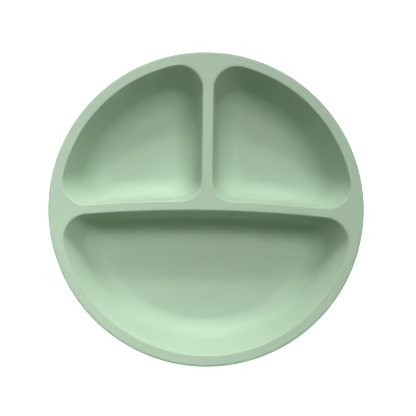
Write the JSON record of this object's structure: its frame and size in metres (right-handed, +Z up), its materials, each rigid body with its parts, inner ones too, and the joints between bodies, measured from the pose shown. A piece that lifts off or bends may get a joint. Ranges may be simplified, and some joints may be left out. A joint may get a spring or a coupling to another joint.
{
  "type": "divided suction bowl",
  "caption": "Round silicone baby plate with a broad rim and divided, sloping compartments, standing on a lift-off suction base with a pull tab.",
  "frame": {"origin": "on the table, under the centre of the plate", "axes": "+Z up through the plate's centre; -Y towards the single large compartment and the pull tab; +X to the right"},
  "size_m": [0.185, 0.185, 0.036],
  "materials": {
    "plate_silicone": "matte moulded silicone",
    "hub_silicone": "matte stiff silicone",
    "cup_silicone": "satin soft silicone",
    "tab_silicone": "satin soft silicone"
  },
  "bodies": {
    "cup": {"suction_cup": "cup_silicone"},
    "tab": {"release_tab": "tab_silicone"},
    "hub": {"base_hub": "hub_silicone"},
    "plate": {"plate_body": "plate_silicone"}
  },
  "joints": [
    {"name": "cup_press", "type": "slide", "parent": "cup", "child": "hub", "axis": [0, 0, 1], "range_m": [-0.0025, 0], "stiffness_N_per_m": 4000, "springref_m": 0.001, "deforming": ["suction_cup"]},
    {"name": "plate_lift", "type": "slide", "parent": "hub", "child": "plate", "axis": [0, 0, 1], "range_m": [0, 0.03]},
    {"name": "tab_lift", "type": "hinge", "parent": "cup", "child": "tab", "pos_m": [0, -0.0663, 0.0009], "axis": [-1, 0, 0], "range_deg": [0, 25], "stiffness_Nm_per_rad": 0.003}
  ]
}
